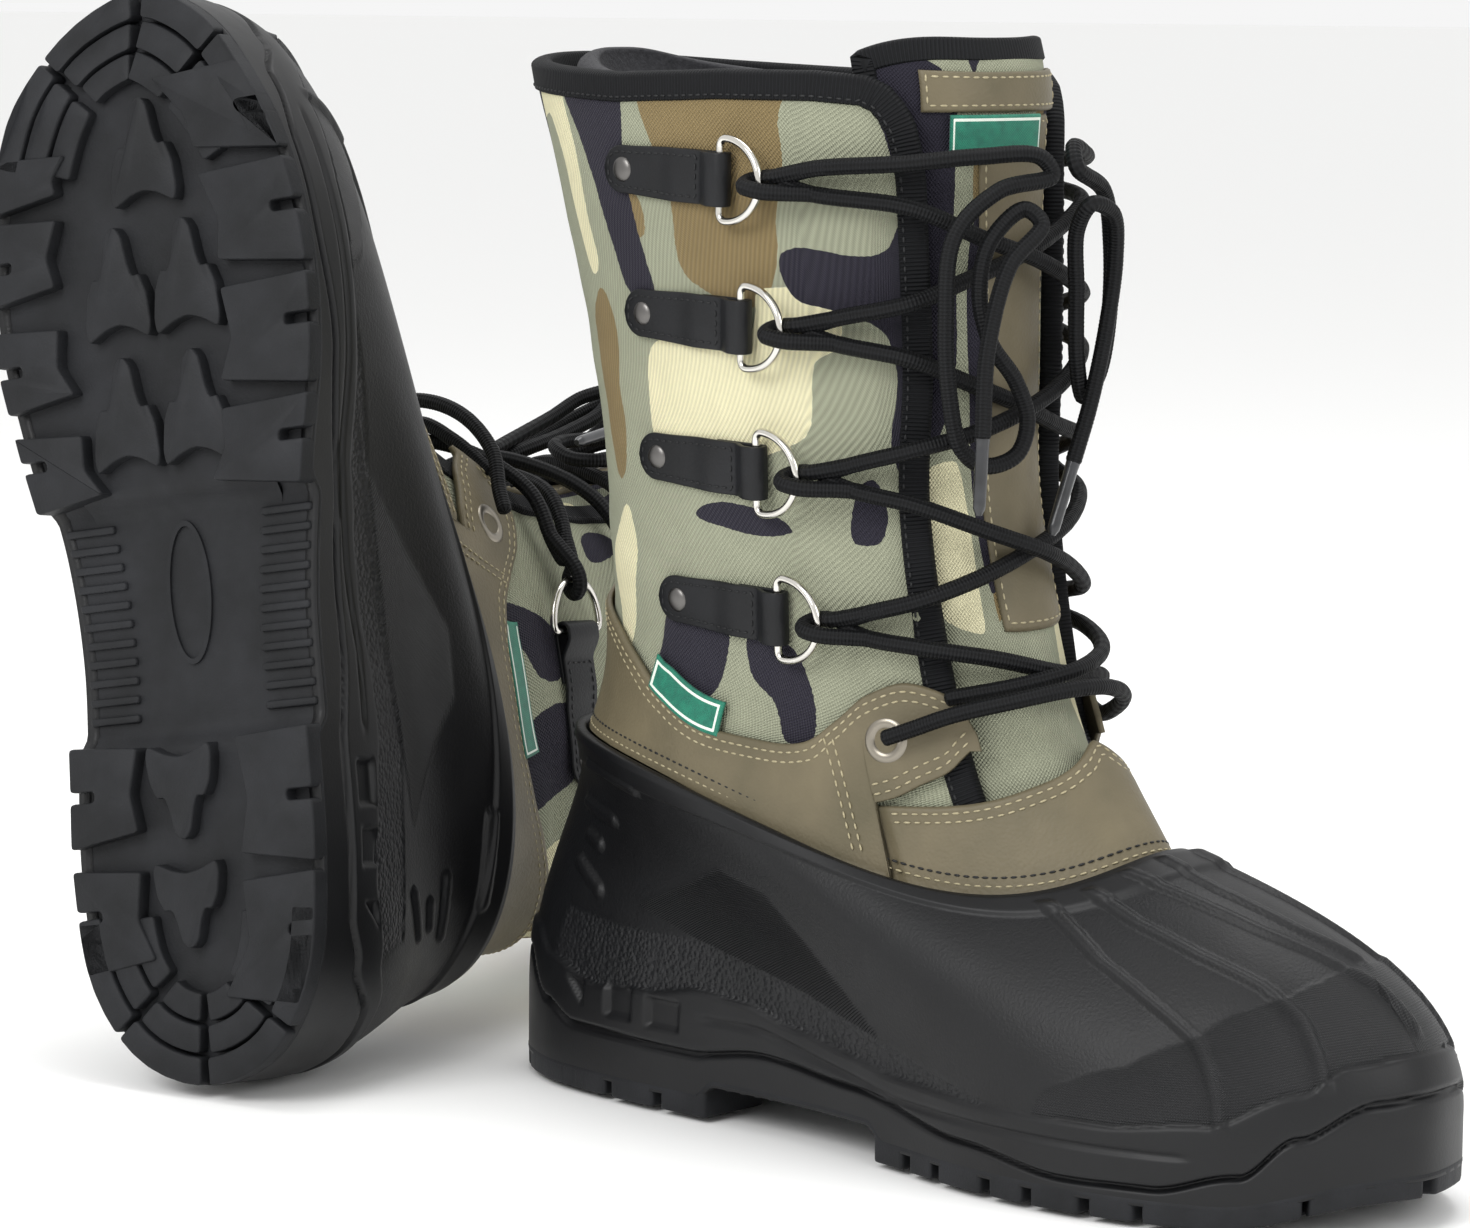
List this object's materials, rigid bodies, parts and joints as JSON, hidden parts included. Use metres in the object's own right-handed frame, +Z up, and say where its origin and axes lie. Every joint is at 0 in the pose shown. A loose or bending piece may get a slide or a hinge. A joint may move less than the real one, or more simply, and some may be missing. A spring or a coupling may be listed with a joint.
{
  "type": "insulated hunting boots",
  "caption": "Pair of laced insulated boots with rubber lower shell, lugged sole, camouflage shaft, tongue, felt liner and swinging lace rings on riveted straps.",
  "frame": {"origin": "on the ground under the middle of the pair, laces not counted", "axes": "+X to the toe of the standing right boot, +Y to its inner side, +Z up"},
  "size_m": [0.4824, 0.3296, 0.3145],
  "materials": {
    "sole_rubber": "matte, lugged",
    "shell_rubber": "matte, fine grain",
    "insole_foam": "matte",
    "liner_felt": "felted",
    "camouflage_fabric": "coarse woven, printed camouflage",
    "olive_leather": "smooth synthetic leather, semi-matte",
    "eyelet_metal": "antique nickel",
    "strap_leather": "synthetic leather, semi-matte",
    "ring_metal": "polished nickel",
    "lace_cord": "braided",
    "lace_tip": "smooth"
  },
  "bodies": {
    "right_boot": {"right_outsole": "sole_rubber", "right_rubber_shell": "shell_rubber", "right_footbed": "insole_foam", "right_felt_liner": "liner_felt", "right_shaft": "camouflage_fabric", "right_tongue": "camouflage_fabric", "right_vamp_band": "olive_leather", "right_quarter_band": "olive_leather", "right_eyelet_lateral": "eyelet_metal", "right_strap_lateral_1": "strap_leather", "right_strap_lateral_2": "strap_leather", "right_strap_lateral_3": "strap_leather", "right_strap_lateral_4": "strap_leather", "right_eyelet_medial": "eyelet_metal", "right_strap_medial_1": "strap_leather", "right_strap_medial_2": "strap_leather", "right_strap_medial_3": "strap_leather", "right_strap_medial_4": "strap_leather", "right_lacing_lateral": "lace_cord", "right_aglet_lateral": "lace_tip", "right_lacing_medial": "lace_cord", "right_aglet_medial": "lace_tip"},
    "left_boot": {"left_outsole": "sole_rubber", "left_rubber_shell": "shell_rubber", "left_footbed": "insole_foam", "left_felt_liner": "liner_felt", "left_shaft": "camouflage_fabric", "left_tongue": "camouflage_fabric", "left_vamp_band": "olive_leather", "left_quarter_band": "olive_leather", "left_eyelet_lateral": "eyelet_metal", "left_strap_lateral_1": "strap_leather", "left_strap_lateral_2": "strap_leather", "left_strap_lateral_3": "strap_leather", "left_strap_lateral_4": "strap_leather", "left_eyelet_medial": "eyelet_metal", "left_strap_medial_1": "strap_leather", "left_strap_medial_2": "strap_leather", "left_strap_medial_3": "strap_leather", "left_strap_medial_4": "strap_leather", "left_lacing_lateral": "lace_cord", "left_aglet_lateral": "lace_tip", "left_lacing_medial": "lace_cord", "left_aglet_medial": "lace_tip"},
    "right_d_ring_lateral_1": {"right_d_ring_lateral_1": "ring_metal"},
    "right_d_ring_lateral_2": {"right_d_ring_lateral_2": "ring_metal"},
    "right_d_ring_lateral_3": {"right_d_ring_lateral_3": "ring_metal"},
    "right_d_ring_lateral_4": {"right_d_ring_lateral_4": "ring_metal"},
    "right_d_ring_medial_1": {"right_d_ring_medial_1": "ring_metal"},
    "right_d_ring_medial_2": {"right_d_ring_medial_2": "ring_metal"},
    "right_d_ring_medial_3": {"right_d_ring_medial_3": "ring_metal"},
    "right_d_ring_medial_4": {"right_d_ring_medial_4": "ring_metal"},
    "left_d_ring_lateral_1": {"left_d_ring_lateral_1": "ring_metal"},
    "left_d_ring_lateral_2": {"left_d_ring_lateral_2": "ring_metal"},
    "left_d_ring_lateral_3": {"left_d_ring_lateral_3": "ring_metal"},
    "left_d_ring_lateral_4": {"left_d_ring_lateral_4": "ring_metal"},
    "left_d_ring_medial_1": {"left_d_ring_medial_1": "ring_metal"},
    "left_d_ring_medial_2": {"left_d_ring_medial_2": "ring_metal"},
    "left_d_ring_medial_3": {"left_d_ring_medial_3": "ring_metal"},
    "left_d_ring_medial_4": {"left_d_ring_medial_4": "ring_metal"}
  },
  "joints": [
    {"name": "left_boot_lift", "type": "slide", "parent": "right_boot", "child": "left_boot", "axis": [0, 0, 1], "range_m": [0, 0.35]},
    {"name": "right_d_ring_lateral_1_swing", "type": "hinge", "parent": "right_boot", "child": "right_d_ring_lateral_1", "pos_m": [0.04826, -0.07505, 0.14613], "axis": [-0.0323, 0.0785, -0.9964], "range_deg": [-8, 40], "stiffness_Nm_per_rad": 0.003},
    {"name": "right_d_ring_lateral_2_swing", "type": "hinge", "parent": "right_boot", "child": "right_d_ring_lateral_2", "pos_m": [0.04316, -0.07884, 0.18652], "axis": [-0.0287, 0.073, -0.9969], "range_deg": [-8, 40], "stiffness_Nm_per_rad": 0.003},
    {"name": "right_d_ring_lateral_3_swing", "type": "hinge", "parent": "right_boot", "child": "right_d_ring_lateral_3", "pos_m": [0.03923, -0.08165, 0.22675], "axis": [-0.0311, 0.0504, -0.9982], "range_deg": [-8, 40], "stiffness_Nm_per_rad": 0.003},
    {"name": "right_d_ring_lateral_4_swing", "type": "hinge", "parent": "right_boot", "child": "right_d_ring_lateral_4", "pos_m": [0.03235, -0.08357, 0.26702], "axis": [-0.0302, 0.0255, -0.9992], "range_deg": [-8, 40], "stiffness_Nm_per_rad": 0.003},
    {"name": "right_d_ring_medial_1_swing", "type": "hinge", "parent": "right_boot", "child": "right_d_ring_medial_1", "pos_m": [0.04826, 0.01565, 0.14613], "axis": [0.0323, 0.0785, 0.9964], "range_deg": [-8, 40], "stiffness_Nm_per_rad": 0.003},
    {"name": "right_d_ring_medial_2_swing", "type": "hinge", "parent": "right_boot", "child": "right_d_ring_medial_2", "pos_m": [0.04316, 0.01944, 0.18652], "axis": [0.0287, 0.073, 0.9969], "range_deg": [-8, 40], "stiffness_Nm_per_rad": 0.003},
    {"name": "right_d_ring_medial_3_swing", "type": "hinge", "parent": "right_boot", "child": "right_d_ring_medial_3", "pos_m": [0.03923, 0.02225, 0.22675], "axis": [0.0311, 0.0504, 0.9982], "range_deg": [-8, 40], "stiffness_Nm_per_rad": 0.003},
    {"name": "right_d_ring_medial_4_swing", "type": "hinge", "parent": "right_boot", "child": "right_d_ring_medial_4", "pos_m": [0.03235, 0.02417, 0.26702], "axis": [0.0302, 0.0255, 0.9992], "range_deg": [-8, 40], "stiffness_Nm_per_rad": 0.003},
    {"name": "left_d_ring_lateral_1_swing", "type": "hinge", "parent": "left_boot", "child": "left_d_ring_lateral_1", "pos_m": [-0.11187, 0.00255, 0.12011], "axis": [-0.1549, 0.9857, -0.0668], "range_deg": [-8, 40], "stiffness_Nm_per_rad": 0.003},
    {"name": "left_d_ring_lateral_2_swing", "type": "hinge", "parent": "left_boot", "child": "left_d_ring_lateral_2", "pos_m": [-0.11703, 0.0425, 0.11444], "axis": [-0.1572, 0.9847, -0.0747], "range_deg": [-8, 40], "stiffness_Nm_per_rad": 0.003},
    {"name": "left_d_ring_lateral_3_swing", "type": "hinge", "parent": "left_boot", "child": "left_d_ring_lateral_3", "pos_m": [-0.12405, 0.08233, 0.11361], "axis": [-0.1789, 0.9806, -0.0802], "range_deg": [-8, 40], "stiffness_Nm_per_rad": 0.003},
    {"name": "left_d_ring_lateral_4_swing", "type": "hinge", "parent": "left_boot", "child": "left_d_ring_lateral_4", "pos_m": [-0.13204, 0.1221, 0.11319], "axis": [-0.2038, 0.9752, -0.0862], "range_deg": [-8, 40], "stiffness_Nm_per_rad": 0.003},
    {"name": "left_d_ring_medial_1_swing", "type": "hinge", "parent": "left_boot", "child": "left_d_ring_medial_1", "pos_m": [-0.19856, -0.01942, 0.10503], "axis": [0.307, -0.9471, 0.0932], "range_deg": [-8, 40], "stiffness_Nm_per_rad": 0.003},
    {"name": "left_d_ring_medial_2_swing", "type": "hinge", "parent": "left_boot", "child": "left_d_ring_medial_2", "pos_m": [-0.21099, 0.01869, 0.0981], "axis": [0.3022, -0.948, 0.1], "range_deg": [-8, 40], "stiffness_Nm_per_rad": 0.003},
    {"name": "left_d_ring_medial_3_swing", "type": "hinge", "parent": "left_boot", "child": "left_d_ring_medial_3", "pos_m": [-0.22337, 0.05716, 0.09633], "axis": [0.2806, -0.9548, 0.0979], "range_deg": [-8, 40], "stiffness_Nm_per_rad": 0.003},
    {"name": "left_d_ring_medial_4_swing", "type": "hinge", "parent": "left_boot", "child": "left_d_ring_medial_4", "pos_m": [-0.23504, 0.096, 0.09528], "axis": [0.2555, -0.9621, 0.0952], "range_deg": [-8, 40], "stiffness_Nm_per_rad": 0.003}
  ]
}
